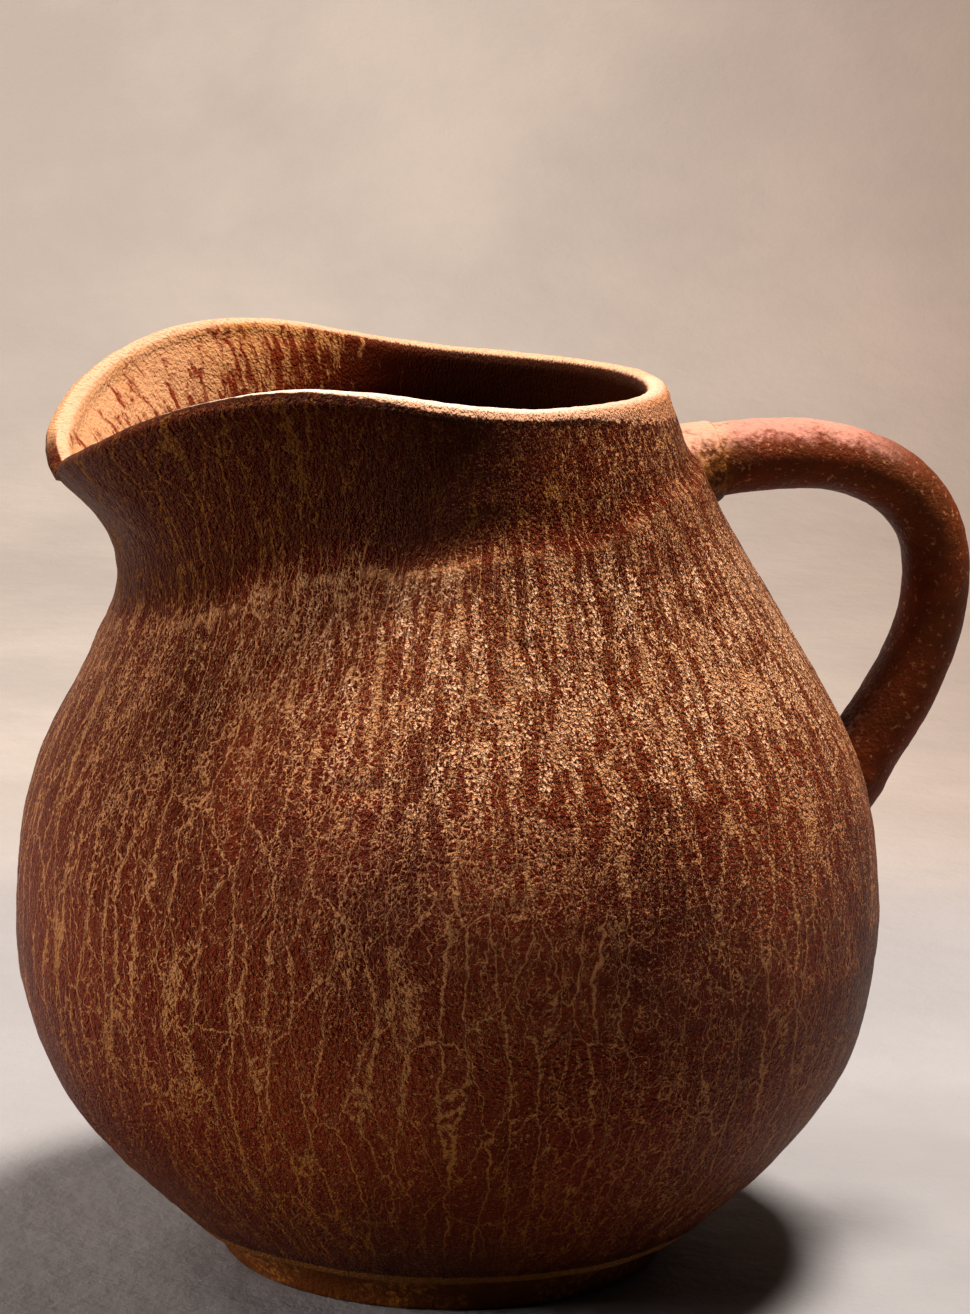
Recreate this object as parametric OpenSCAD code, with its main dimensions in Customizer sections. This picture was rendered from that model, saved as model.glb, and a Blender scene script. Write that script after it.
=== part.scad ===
// Terracotta jug: a thrown round belly, a neck with a pulled spout that is joined
// on a slanting seam, a foot ring below and a pulled handle behind.
// The axis of the belly is Z, the floor is z = 0, the spout points to -X and
// the handle to +X. All sizes are in millimetres.

/* [Foot ring] */
// Radius of the foot ring where it stands on the table
foot_r = 57; // [52:0.5:60]
// Radius of the foot ring where it meets the belly
foot_top_r = 62.5; // [58:0.5:64.5]
// Height of the foot ring
foot_h = 10.5; // [7:0.5:14]
// Width of the clay in the foot ring, at its underside
foot_width = 10; // [7:0.5:14]
// Rounding of the foot ring's lower edges
foot_edge = 2; // [1:0.25:3]

/* [Belly] */
// Largest radius of the belly
belly_r = 110; // [100:1:120]
// Height of the widest place of the belly above the table
belly_z = 88; // [78:1:98]
// Radius of the belly where it sits on the foot ring
seat_r = 66; // [65:0.5:72]
// Radius of the shoulder, half way between the belly and the rim
shoulder_r = 85.5; // [80:0.5:92]
// Height of that place of the shoulder above the table
shoulder_z = 163; // [155:1:170]
// Thickness of the wall of the belly
wall = 8; // [5:0.5:10]
// Thickness of the floor
floor_t = 8.5; // [6:0.5:12]
// Radius of the flat part of the floor inside
floor_r = 46; // [38:1:52]

/* [Neck and spout] */
// Height of the rim above the table on the handle's side
rim_z = 225.5; // [218:0.5:235]
// Radius of the middle of the rim on the handle's side
rim_r = 50; // [46:0.5:54]
// Thickness of the rim
rim_t = 7; // [5:0.5:8]
// How far the seam between the belly and the neck is below the rim, at the jug's axis
seam_drop = 38.5; // [33:0.5:45]
// Slant of that seam, which is lower at the spout, in degrees
seam_tilt = 16; // [10:1:18]
// How far the mouth widens past the rim's radius on the spout's side
mouth_swell = 22; // [16:0.5:28]
// Half of the angle that the widened mouth takes, in degrees
mouth_half_angle = 86; // [78:1:90]
// How far the spout reaches past the widened mouth
spout_reach = 27.5; // [20:0.5:34]
// Half of the angle that the spout takes, in degrees
spout_half_angle = 46; // [40:1:52]
// How much lower the tip of the spout is than the rim
spout_dip = 19; // [12:0.5:23]
// Half of the angle over which the rim dips to the tip, in degrees
dip_half_angle = 31; // [26:1:36]
// How far the rim rises beside the spout
ear_rise = 9; // [5:0.5:13]
// Angle between the spout and the highest place of the rim, in degrees
ear_angle = 44; // [38:1:52]
// Angle over which that rise dies away, in degrees
ear_half_angle = 35; // [28:1:40]
// Depth of the groove that the tip of the spout pours from
lip_notch = 3; // [1:0.25:4]
// Half of the angle that this groove takes, in degrees
notch_half_angle = 4; // [3:0.5:6]

/* [Handle] */
// Thickness of the handle, seen from the side
handle_thick = 17; // [14:0.5:20]
// Width of the handle, seen from behind
handle_width = 21; // [16:0.5:26]
// How much thicker the handle is at its ends
handle_root_swell = 1.5; // [0:0.25:3]
// How far the middle of the handle stands out past the belly
handle_proud = 17.5; // [12:0.5:24]
// How far the middle of the handle's upper end is below the rim
handle_drop = 21.5; // [18:0.5:26]
// How far the handle's lower end is above the widest place of the belly
handle_foot_rise = 34.5; // [25:0.5:40]
// Climb of the handle where it leaves the neck, in degrees
handle_climb_angle = 8; // [0:1:15]
// Lean of the handle where it comes back to the belly, in degrees from upright
handle_foot_angle = 37; // [30:1:45]

/* [Handle collar] */
// Length of the clay collar between the neck and the handle, along its middle
collar_len = 7; // [5:0.5:12]
// How much the collar stands proud of the handle all round
collar_proud = 0.8; // [0.4:0.1:1.5]
// How much the collar spreads at each side where it meets the neck
collar_spread = 5; // [2:0.5:7]
// How much the collar spreads downwards where it meets the neck
collar_flare = 9; // [4:0.5:11]

/* [Hidden] */

// Colours of the fired clay under its slip, and of the bare clay
slip_brown = [0.46, 0.21, 0.13];
neck_brown = [0.52, 0.26, 0.15];
bare_ochre = [0.68, 0.42, 0.21];
handle_red = [0.50, 0.20, 0.12];

// Leans of the wall from upright, at its seat, at the shoulder and at the rim
seat_angle = 48;
floor_angle = 62;
shoulder_angle = -33;
rim_angle = -14;
// How far each curve of the wall keeps to its first and its last lean, as shares of its height
lower_shares = [0.28, 0.5];
upper_shares = [0.45, 0.35];
neck_shares = [0.32, 0.31];
// Height of the handle's outermost place, as a share of the handle's height
handle_bend_share = 0.615;
// How far the handle keeps to its direction at each end of its two curves
handle_shares = [0.67, 0.74, 0.37, 0.35];
// Power of the law by which the neck opens from the seam to the rim
opening_power = 1.4;

// Straight pieces in each curve of the wall, and in each rounded foot edge
curve_count = 9;
edge_count = 5;
// Columns round the neck, drawn together at the spout by this share
column_count = 96;
tip_crowding_share = 0.45;
// Rows up each side of the neck's wall, and steps over the rim
row_count = 10;
roll_count = 6;
// Rounds of the search for the height of the seam
search_count = 12;
// Sides of the handle and of its collar, and rings along them
side_count = 24;
handle_ring_count = 22;
collar_ring_count = 8;
// Facets of the turned pieces, which are true surfaces of revolution
turned_facet_count = 96;

// Places that follow from the sizes above
floor_z = foot_h + floor_t;
seam_z = rim_z - seam_drop;
rim_outer_r = rim_r + rim_t / 2;
rim_inner_r = rim_r - rim_t / 2;
shoulder_inset = wall / cos(shoulder_angle);
handle_top_z = rim_z - handle_drop;
handle_foot_z = belly_z + handle_foot_rise;
handle_bend_z = handle_foot_z + handle_bend_share * (handle_top_z - handle_foot_z);
handle_bend_x = belly_r + handle_proud;
cutter = 2 * (belly_r + rim_z);

// A point at the share t of the curve from a to d that is drawn towards b and c
function bezier(a, b, c, d, t) =
    pow(1 - t, 3) * a + 3 * pow(1 - t, 2) * t * b + 3 * (1 - t) * pow(t, 2) * c + pow(t, 3) * d;

// The step up a leaning wall that climbs by rise
function lean_step(lean, rise) = [rise * tan(lean), rise];

// Points of a wall's curve from p to q, which leaves and arrives at the given leans
function wall_curve(p, p_lean, q, q_lean, shares) =
    let (rise = q[1] - p[1])
    [for (i = [0:curve_count])
        bezier(p, p + lean_step(p_lean, shares[0] * rise),
               q - lean_step(q_lean, shares[1] * rise), q, i / curve_count)];

// A list without its first member
function tail(list) = [for (i = [1:len(list) - 1]) list[i]];

// The wall's line from its seat to the rim, as points of radius and height
function wall_line(seat, seat_angle, waist, shoulder, rim) = concat(
    wall_curve(seat, seat_angle, waist, 0, lower_shares),
    tail(wall_curve(waist, 0, shoulder, shoulder_angle, upper_shares)),
    tail(wall_curve(shoulder, shoulder_angle, rim, rim_angle, neck_shares)));

outer_line = wall_line([seat_r, foot_h], seat_angle, [belly_r, belly_z],
                       [shoulder_r, shoulder_z], [rim_outer_r, rim_z]);
inner_line = wall_line([floor_r, floor_z], floor_angle, [belly_r - wall, belly_z],
                       [shoulder_r - shoulder_inset, shoulder_z], [rim_inner_r, rim_z]);

// The same lines with the height first, so that a radius is looked up by its height
function by_height(line) = [for (p = line) [p[1], p[0]]];
outer_by_height = by_height(outer_line);
inner_by_height = by_height(inner_line);

// Height of the slanting seam above a place of the table
function seam_height(x) = seam_z + x * tan(seam_tilt);

// Height at which the seam crosses a wall line, in the direction a from the spout
function seam_cross(table, a, z = seam_z, rounds = search_count) =
    rounds < 1 ? z
    : seam_cross(table, a, seam_height(-lookup(z, table) * cos(a)), rounds - 1);

// Angle between the direction a and the spout, from 0 to 180
function from_spout(a) = a > 180 ? 360 - a : a;

// A hill of height 1 that falls away round the angle given by width
function hill(a, width, power) = exp(-pow(abs(a) / width, power));

// Radius and height of the middle of the rim in the direction a from the spout
function rim_place(a) =
    let (turn = from_spout(a), notch = lip_notch * hill(turn, notch_half_angle, 2))
    [rim_r + mouth_swell * hill(turn, mouth_half_angle, 4)
         + spout_reach * hill(turn, spout_half_angle, 3) - notch / 2,
     rim_z - rim_t / 2 + ear_rise * hill(turn - ear_angle, ear_half_angle, 2)
         - spout_dip * hill(turn, dip_half_angle, 2) - notch];

// A point of the neck in the direction a, with radius r and height z
function round_point(a, r, z) = [-r * cos(a), -r * sin(a), z];

// A point of the neck's wall at the share v of the way from the seam to the rim
function neck_point(a, v, table, side) =
    let (rim = rim_place(a),
         foot_z = seam_cross(table, a),
         z = foot_z + v * (rim[1] - foot_z),
         opening = rim[0] + side * rim_t / 2 - lookup(rim[1], table),
         r = lookup(z, table) + opening * pow(v, opening_power))
    round_point(a, r, v == 0 ? seam_height(-r * cos(a)) : z);

// A point on the round of the rim, from 0 at its outside to 180 at its inside
function roll_point(a, turn) =
    let (rim = rim_place(a))
    round_point(a, rim[0] + cos(turn) * rim_t / 2, rim[1] + sin(turn) * rim_t / 2);

// Directions of the neck's columns, closest together at the spout
function column_angle(i) =
    let (even = 360 * i / column_count)
    even - tip_crowding_share * sin(even) * 180 / PI;

// Faces that join rings of n points each, from the first ring to the last
function tube_faces(rings, n) = [
    for (k = [0:rings - 2], i = [0:n - 1])
        let (j = (i + 1) % n, low = k * n, high = (k + 1) * n)
        each [[low + i, high + i, high + j], [low + i, high + j, low + j]]];

// Faces that join the last ring back to the first one
function closing_faces(rings, n) = [
    for (i = [0:n - 1])
        let (j = (i + 1) % n, low = (rings - 1) * n)
        each [[low + i, i, j], [low + i, j, low + j]]];

// Flat faces that close the first and the last ring of a rod
function end_faces(rings, n) = [
    [for (i = [0:n - 1]) i],
    [for (i = [n - 1:-1:0]) (rings - 1) * n + i]];

// The middle line of the handle: its ends and its outermost place
collar_top = [lookup(handle_top_z, outer_by_height) + collar_len, handle_top_z];
climb_way = [cos(handle_climb_angle), sin(handle_climb_angle)];
handle_bend = [handle_bend_x, handle_bend_z];
foot_way = [-sin(handle_foot_angle), -cos(handle_foot_angle)];
handle_foot = [lookup(handle_foot_z, outer_by_height), handle_foot_z]
    + (handle_thick / 2 + handle_root_swell) * foot_way / cos(handle_foot_angle);

function upper_handle(t) = bezier(
    collar_top, collar_top + handle_shares[0] * (handle_bend[0] - collar_top[0]) * climb_way,
    handle_bend + [0, handle_shares[1] * (collar_top[1] - handle_bend[1])], handle_bend, t);

function lower_handle(t) =
    let (rise = handle_bend[1] - handle_foot[1])
    bezier(handle_bend, handle_bend - [0, handle_shares[2] * rise],
           handle_foot - handle_shares[3] * rise * foot_way / cos(handle_foot_angle),
           handle_foot, t);

// Place on the handle's middle line, from 0 at the collar to 2 inside the belly's wall
function handle_place(u) = u <= 1 ? upper_handle(u) : lower_handle(u - 1);

// Direction of the handle's middle line at that place
function handle_way(u) =
    let (d = 1 / (4 * handle_ring_count),
         step = handle_place(min(u + d, 2)) - handle_place(max(u - d, 0)))
    u == 0 ? climb_way : step / norm(step);

// An oval ring square to way, with half sizes up and across, and its lower half deeper by drop
function oval_ring(middle, way, up, across, drop = 0) = [
    for (i = [0:side_count - 1])
        let (b = 360 * i / side_count,
             rise = cos(b) * (up + (cos(b) < 0 ? drop : 0)),
             flat = middle + rise * [-way[1], way[0]])
        [flat[0], -sin(b) * across, flat[1]]];

// Everything inside the outer line of the wall, to trim what is joined on
module clay_body() {
    rotate_extrude($fn = turned_facet_count)
        polygon(concat([[0, foot_h]], outer_line, [[0, rim_z]]));
}

// The space above the seam
module above_seam() {
    translate([0, 0, seam_z])
        rotate([0, -seam_tilt, 0])
            translate([-cutter / 2, -cutter / 2, 0])
                cube(cutter);
}

module foot_ring() {
    top_inner_r = foot_top_r - foot_width;
    inner_r = foot_r - foot_width;
    outer_edge = [for (i = [0:edge_count])
        let (b = 90 * i / edge_count)
        [foot_r - foot_edge * (1 - sin(b)), foot_edge * (1 - cos(b))]];
    inner_edge = [for (i = [edge_count:-1:0])
        let (b = 90 * i / edge_count)
        [inner_r + foot_edge * (1 - sin(b)), foot_edge * (1 - cos(b))]];
    color(bare_ochre)
        rotate_extrude($fn = turned_facet_count)
            polygon(concat(outer_edge, [[foot_top_r, foot_h], [top_inner_r, foot_h]], inner_edge));
}

module belly() {
    inside = [for (i = [len(inner_line) - 1:-1:0]) inner_line[i]];
    color(slip_brown)
        difference() {
            rotate_extrude($fn = turned_facet_count)
                polygon(concat([[0, foot_h]], outer_line, inside, [[0, floor_z]]));
            above_seam();
        }
}

module neck_and_spout() {
    angles = [for (i = [0:column_count - 1]) column_angle(i)];
    outside = [for (k = [0:row_count], a = angles)
        neck_point(a, k / row_count, outer_by_height, 1)];
    roll = [for (k = [1:roll_count - 1], a = angles) roll_point(a, 180 * k / roll_count)];
    inside = [for (k = [row_count:-1:0], a = angles)
        neck_point(a, k / row_count, inner_by_height, -1)];
    points = concat(outside, roll, inside);
    rings = len(points) / column_count;
    color(neck_brown)
        polyhedron(points, concat(tube_faces(rings, column_count),
                                  closing_faces(rings, column_count)));
}

module handle_collar() {
    up = (handle_thick + handle_root_swell) / 2 + collar_proud;
    across = (handle_width + handle_root_swell) / 2 + collar_proud;
    // The collar runs from its free end to well inside the wall, where the body trims it
    run = collar_len + wall / 2;
    points = [for (k = [collar_ring_count:-1:0])
        let (s = k / collar_ring_count, spread = pow(s, 2))
        each oval_ring(collar_top - s * run * climb_way, climb_way,
                       up, across + spread * collar_spread, spread * collar_flare)];
    color(bare_ochre)
        difference() {
            polyhedron(points, concat(tube_faces(collar_ring_count + 1, side_count),
                                      end_faces(collar_ring_count + 1, side_count)));
            clay_body();
        }
}

module handle() {
    rings = 2 * handle_ring_count + 1;
    points = [for (k = [0:rings - 1])
        let (u = k / handle_ring_count, swell = handle_root_swell * pow(u - 1, 2))
        each oval_ring(handle_place(u), handle_way(u),
                       (handle_thick + swell) / 2, (handle_width + swell) / 2)];
    color(handle_red)
        difference() {
            polyhedron(points, concat(tube_faces(rings, side_count),
                                      end_faces(rings, side_count)));
            clay_body();
        }
}

foot_ring();
belly();
neck_and_spout();
handle_collar();
handle();
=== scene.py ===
"""Terracotta jug: a thrown belly, a neck with a pulled spout, a foot ring, a collar and a pulled handle.

Every piece is made in metres round the axis of the belly, which is Z. The jug stands on z = 0,
the spout points to -X and the handle to +X. A direction on the jug is the angle from the spout.
"""

import math

import bpy
import numpy as np
from bpy.props import FloatProperty, FloatVectorProperty, IntProperty, PointerProperty
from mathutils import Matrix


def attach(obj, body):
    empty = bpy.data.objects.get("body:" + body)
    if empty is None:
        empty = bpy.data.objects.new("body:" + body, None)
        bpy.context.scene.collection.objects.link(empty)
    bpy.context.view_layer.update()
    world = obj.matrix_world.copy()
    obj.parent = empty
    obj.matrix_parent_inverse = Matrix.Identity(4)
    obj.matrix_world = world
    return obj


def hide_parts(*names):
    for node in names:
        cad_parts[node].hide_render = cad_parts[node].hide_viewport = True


bl_info = {
    "name": "Terracotta Jug",
    "version": (1, 0, 0),
    "blender": (4, 5, 0),
    "location": "View3D > Sidebar > Jug",
    "description": "Throws, joins and slips a clay pouring jug, and sets it on a studio floor",
    "category": "Add Mesh",
}

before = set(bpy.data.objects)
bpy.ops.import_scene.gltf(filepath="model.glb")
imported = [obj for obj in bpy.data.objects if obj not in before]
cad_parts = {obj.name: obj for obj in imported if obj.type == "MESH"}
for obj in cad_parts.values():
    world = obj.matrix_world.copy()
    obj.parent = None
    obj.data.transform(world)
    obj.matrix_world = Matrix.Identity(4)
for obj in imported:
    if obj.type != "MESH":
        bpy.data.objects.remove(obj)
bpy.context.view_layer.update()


def length(name, description, default):
    """A size in metres that a user may change."""
    return FloatProperty(name=name, description=description, default=default, unit="LENGTH", precision=4)


def turn(name, description, default):
    """An angle, given in degrees and kept in radians."""
    return FloatProperty(name=name, description=description, default=math.radians(default), unit="ROTATION")


def colour(name, description, default):
    """A colour in linear light."""
    return FloatVectorProperty(name=name, description=description, default=default, size=3,
                               min=0, max=1, subtype="COLOR")


class JugBellySizes(bpy.types.PropertyGroup):
    foot_radius: length("Foot radius", "Radius of the foot ring where it stands", 0.057)
    foot_top_radius: length("Foot top radius", "Radius of the foot ring where it meets the belly", 0.0625)
    foot_height: length("Foot height", "Height of the foot ring", 0.0105)
    foot_width: length("Foot width", "Width of the clay in the foot ring", 0.010)
    foot_edge: length("Foot edge", "Rounding of the foot ring's lower edges", 0.002)
    belly_radius: length("Belly radius", "Largest radius of the belly", 0.110)
    belly_height: length("Belly height", "Height of the widest place of the belly", 0.088)
    seat_radius: length("Seat radius", "Radius of the belly where it sits on the foot ring", 0.066)
    shoulder_radius: length("Shoulder radius", "Radius half way from the belly to the rim", 0.0855)
    shoulder_height: length("Shoulder height", "Height of that place", 0.163)
    wall: length("Wall", "Thickness of the wall", 0.008)
    floor_thickness: length("Floor", "Thickness of the floor", 0.0085)
    floor_radius: length("Floor radius", "Radius of the flat floor inside", 0.046)


class JugNeckSizes(bpy.types.PropertyGroup):
    rim_height: length("Rim height", "Height of the rim on the handle's side", 0.2255)
    rim_radius: length("Rim radius", "Radius of the middle of the rim on the handle's side", 0.050)
    rim_thickness: length("Rim thickness", "Thickness of the rim", 0.007)
    seam_drop: length("Seam drop", "How far the seam is below the rim, at the axis", 0.0385)
    seam_tilt: turn("Seam tilt", "Slant of the seam, lower at the spout", 16)
    mouth_swell: length("Mouth swell", "How far the mouth widens on the spout's side", 0.022)
    mouth_half_angle: turn("Mouth half angle", "Half of the angle that the widened mouth takes", 86)
    spout_reach: length("Spout reach", "How far the spout reaches past the widened mouth", 0.0275)
    spout_half_angle: turn("Spout half angle", "Half of the angle that the spout takes", 46)
    spout_dip: length("Spout dip", "How much lower the tip is than the rim", 0.019)
    dip_half_angle: turn("Dip half angle", "Half of the angle over which the rim dips", 31)
    ear_rise: length("Ear rise", "How far the rim rises beside the spout", 0.009)
    ear_angle: turn("Ear angle", "Angle from the spout to the highest place of the rim", 44)
    ear_half_angle: turn("Ear half angle", "Angle over which that rise dies away", 35)
    lip_notch: length("Lip notch", "Depth of the groove at the tip", 0.003)
    notch_half_angle: turn("Notch half angle", "Half of the angle that the groove takes", 4)


class JugHandleSizes(bpy.types.PropertyGroup):
    thickness: length("Thickness", "Thickness of the handle, seen from the side", 0.017)
    width: length("Width", "Width of the handle, seen from behind", 0.021)
    root_swell: length("Root swell", "How much thicker the handle is at its ends", 0.0015)
    proud: length("Reach", "How far the middle of the handle stands out past the belly", 0.0175)
    drop: length("Drop", "How far the upper end's middle is below the rim", 0.0215)
    foot_rise: length("Foot rise", "How far the lower end is above the widest place of the belly", 0.0345)
    climb: turn("Climb", "Climb of the handle where it leaves the neck", 8)
    foot_lean: turn("Foot lean", "Lean of the handle where it comes back, from upright", 37)
    collar_length: length("Collar length", "Length of the collar along the handle's middle", 0.007)
    collar_proud: length("Collar proud", "How much the collar stands proud of the handle", 0.0008)
    collar_spread: length("Collar spread", "How much the collar spreads at each side", 0.005)
    collar_flare: length("Collar flare", "How much the collar spreads downwards", 0.0125)


class JugTouches(bpy.types.PropertyGroup):
    lump_height: length("Lump height", "Height of the soft lumps that hands leave", 0.0009)
    lump_size: length("Lump size", "Width of those lumps", 0.034)
    ridge_height: length("Ridge height", "Height of the rings left by the potter's fingers", 0.00004)
    ridge_spacing: length("Ridge spacing", "Distance from one ring to the next", 0.0092)
    grain_height: length("Grain height", "Height of the coarse grain of the clay", 0.00026)
    grain_size: length("Grain size", "Width of that grain", 0.0042)
    seam_ledge: length("Seam ledge", "How far the shoulder stands out below the seam", 0.0021)
    ledge_lift: length("Ledge lift", "How much higher the ledge runs beside the spout", 0.012)
    wander_size: length("Wander size", "Distance over which the veins of slip wander", 0.013)
    wander_reach: length("Wander reach", "How far the veins wander to the sides", 0.0044)
    patch_size: length("Patch size", "Size of the patches of thick and thin slip", 0.030)
    band_size: length("Band size", "Width of the bands in which grain gathers", 0.0030)
    seed: IntProperty(name="Seed", description="Picks another set of lumps and grain", default=4)
    columns: IntProperty(name="Columns", description="Columns of the mesh round the jug", default=512)


class JugColours(bpy.types.PropertyGroup):
    # Deep slip: thick slip in patches and hollows, also used as painted shade on the neck and low on the
    # belly
    slip_deep_and_shade: colour("Deep slip", "The slip where it lies thickest", (0.070, 0.006, 0.0012))
    slip: colour("Slip", "The dark iron slip", (0.142, 0.014, 0.004))
    slip_red: colour("Thin slip", "The slip where it is thin", (0.196, 0.027, 0.007))
    vein: colour("Vein", "The clay that shows through the slip", (0.490, 0.212, 0.084))
    # Darker vein: a darker ochre, also used as painted shade on the veins of the neck and the lower belly
    vein_darker_and_shade: colour("Stained vein", "That clay low on the belly and on the neck", (0.270, 0.094, 0.016))
    # Pale vein: rubbed clay, also used as painted glints on the lit shoulder's grain
    vein_rubbed_and_glint: colour("Pale vein", "The same clay where it is rubbed bare", (0.960, 0.560, 0.335))
    rim: colour("Rim", "The wiped rim", (0.680, 0.350, 0.205))
    rim_low: colour("Below the rim", "The ochre band below the rim, by the handle", (0.640, 0.260, 0.110))
    bare: colour("Bare clay", "The clay inside and at the foot", (0.470, 0.185, 0.048))
    handle: colour("Handle", "The washed clay of the handle", (0.098, 0.024, 0.007))
    # Pale handle: rubbed wash, also used as a painted highlight along the handle's top
    handle_rubbed_and_lit: colour("Pale handle", "The handle where the wash is rubbed", (0.500, 0.212, 0.152))
    inner: colour("Clay inside", "The pale clay inside the spout", (0.560, 0.270, 0.125))
    # Collar top: rubbed clay, also used as a painted highlight on the collar's top
    collar_top_rubbed_and_lit: colour("Collar top", "The collar where it is rubbed on top", (0.600, 0.290, 0.190))
    # Crest: the rubbed edge of the mouth, also used as a painted highlight on its near side
    crest: colour("Crest", "The very edge of the mouth, rubbed nearly white", (0.860, 0.640, 0.480))
    # Dark clay: the foot ring, and dark mottles on the collar and the handle
    dark_clay: colour("Foot stain", "The stained clay of the foot", (0.085, 0.022, 0.004))
    # Darkest colour: thick slip inside and at the lip, also used as painted shade on the neck, under the lip,
    # at the foot ring and deep inside
    darkest_slip_and_shade: colour("Soot", "The darkest stains inside", (0.026, 0.005, 0.0010))
    floor: colour("Floor", "The studio floor", (0.310, 0.296, 0.296))
    backdrop: colour("Backdrop", "The backdrop behind the jug", (0.400, 0.350, 0.312))
    # Backdrop's right side: painted shade where the backdrop lamp's light falls off
    backdrop_right_shade: colour("Backdrop edge", "The backdrop at its right side", (0.270, 0.200, 0.165))

# Lines of the wall

# Lean of the wall where its curves meet, in degrees, outwards as it rises
SEAT_LEAN = 48
FLOOR_LEAN = 62
SHOULDER_LEAN = -33
RIM_LEAN = -14
# How far each curve of the wall keeps to the lean at its two ends, as shares of its rise
LOWER_SHARES = (0.28, 0.5)
UPPER_SHARES = (0.45, 0.35)
NECK_SHARES = (0.32, 0.31)
# The neck opens late on its way up to the rim
NECK_FLARE = 1.4


def hill(angle, width, power):
    """A hill of height 1 that falls away round the angle given by width."""
    return np.exp(-(np.abs(angle) / width) ** power)


def angle_from(angles, middle=0):
    """How far each direction is from the middle one, to either side."""
    return np.abs((angles - middle + math.pi) % (2 * math.pi) - math.pi)


def drawn_curve(start, start_step, end, end_step, count=48):
    """Points of a curve that leaves start by one step and reaches end by another."""
    t = np.linspace(0, 1, count + 1)[:, None]
    a, d = np.array(start), np.array(end)
    b, c = a + np.array(start_step), d - np.array(end_step)
    return (1 - t) ** 3 * a + 3 * (1 - t) ** 2 * t * b + 3 * (1 - t) * t ** 2 * c + t ** 3 * d


def wall_curve(start, start_lean, end, end_lean, shares):
    """A curve of the wall between two places of radius and height, with its lean at both."""
    rise = end[1] - start[1]
    first = (shares[0] * rise * math.tan(math.radians(start_lean)), shares[0] * rise)
    last = (shares[1] * rise * math.tan(math.radians(end_lean)), shares[1] * rise)
    return drawn_curve(start, first, end, last)


class WallLine:
    """The outer or the inner line of the turned wall, from its seat to the rim."""

    def __init__(self, seat, seat_lean, waist, shoulder, rim):
        lower = wall_curve(seat, seat_lean, waist, 0, LOWER_SHARES)
        upper = wall_curve(waist, 0, shoulder, SHOULDER_LEAN, UPPER_SHARES)
        neck = wall_curve(shoulder, SHOULDER_LEAN, rim, RIM_LEAN, NECK_SHARES)
        points = np.concatenate([lower, upper[1:], neck[1:]])
        self.radii = points[:, 0]
        self.heights = points[:, 1]
        steps = np.hypot(np.diff(self.radii), np.diff(self.heights))
        self.way = np.concatenate([[0], np.cumsum(steps)])

    def radius(self, z):
        return np.interp(z, self.heights, self.radii)

    def way_at(self, z):
        return np.interp(z, self.heights, self.way)

    def height_at(self, way):
        return np.interp(way, self.way, self.heights)


def wall_lines(belly, neck):
    """The outer and the inner line of the wall."""
    half = neck.rim_thickness / 2
    foot = belly.foot_height
    inset = belly.wall / math.cos(math.radians(SHOULDER_LEAN))
    outer = WallLine((belly.seat_radius, foot), SEAT_LEAN,
                     (belly.belly_radius, belly.belly_height),
                     (belly.shoulder_radius, belly.shoulder_height),
                     (neck.rim_radius + half, neck.rim_height))
    inner = WallLine((belly.floor_radius, foot + belly.floor_thickness), FLOOR_LEAN,
                     (belly.belly_radius - belly.wall, belly.belly_height),
                     (belly.shoulder_radius - inset, belly.shoulder_height),
                     (neck.rim_radius - half, neck.rim_height))
    return outer, inner


def rim_places(neck, angles):
    """Radius and height of the middle of the rim in each direction."""
    off = angle_from(angles)
    notch = neck.lip_notch * hill(off, neck.notch_half_angle, 2)
    radius = (neck.rim_radius + neck.mouth_swell * hill(off, neck.mouth_half_angle, 4)
              + neck.spout_reach * hill(off, neck.spout_half_angle, 3) - notch / 2)
    height = (neck.rim_height - neck.rim_thickness / 2
              + neck.ear_rise * hill(off - neck.ear_angle, neck.ear_half_angle, 2)
              - neck.spout_dip * hill(off, neck.dip_half_angle, 2) - notch)
    return radius, height


def seam_heights(neck, line, angles):
    """Height at which the slanting seam crosses a wall line in each direction."""
    middle = neck.rim_height - neck.seam_drop
    z = np.full(len(angles), middle)
    # Each round takes the wall's radius at the last height, and comes closer to the crossing
    for _ in range(14):
        z = middle - line.radius(z) * np.cos(angles) * math.tan(neck.seam_tilt)
    return z


def ring(angles, radii, heights):
    """Points of one ring of the wall."""
    return np.stack([-radii * np.cos(angles), -radii * np.sin(angles),
                     heights * np.ones_like(angles)], axis=1)


def belly_rows(neck, line, angles, count):
    """Rings of one side of the belly's wall, from its seat to the seam."""
    end = line.way_at(seam_heights(neck, line, angles))
    rows = []
    for share in np.linspace(0, 1, count + 1):
        z = line.height_at(share * end)
        rows.append(ring(angles, line.radius(z), z))
    return rows


def neck_rows(neck, line, angles, side, count):
    """Rings of one side of the neck's wall, from the seam to the rim."""
    rim_radius, rim_height = rim_places(neck, angles)
    foot = seam_heights(neck, line, angles)
    opening = rim_radius + side * neck.rim_thickness / 2 - line.radius(rim_height)
    rows = []
    for share in np.linspace(0, 1, count + 1):
        z = foot + share * (rim_height - foot)
        rows.append(ring(angles, line.radius(z) + opening * share ** NECK_FLARE, z))
    return rows


def rim_rows(neck, angles, count):
    """Rings over the round of the rim, from its outside to its inside."""
    rim_radius, rim_height = rim_places(neck, angles)
    half = neck.rim_thickness / 2
    rows = []
    for k in range(1, count):
        b = math.pi * k / count
        rows.append(ring(angles, rim_radius + half * math.cos(b), rim_height + half * math.sin(b)))
    return rows


# Meshes

# Edges that turn more than this, in degrees, are shaded sharp
SHARP_FROM = 55


def tube_quads(rows, columns, joined=False):
    """Faces between rings of points that follow each other, and back to the first if joined."""
    k = np.arange(rows if joined else rows - 1)[:, None]
    i = np.arange(columns)[None, :]
    j = (i + 1) % columns
    low, high = k * columns, ((k + 1) % rows) * columns
    return np.stack([low + i, low + j, high + j, high + i], axis=-1).reshape(-1, 4)


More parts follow.
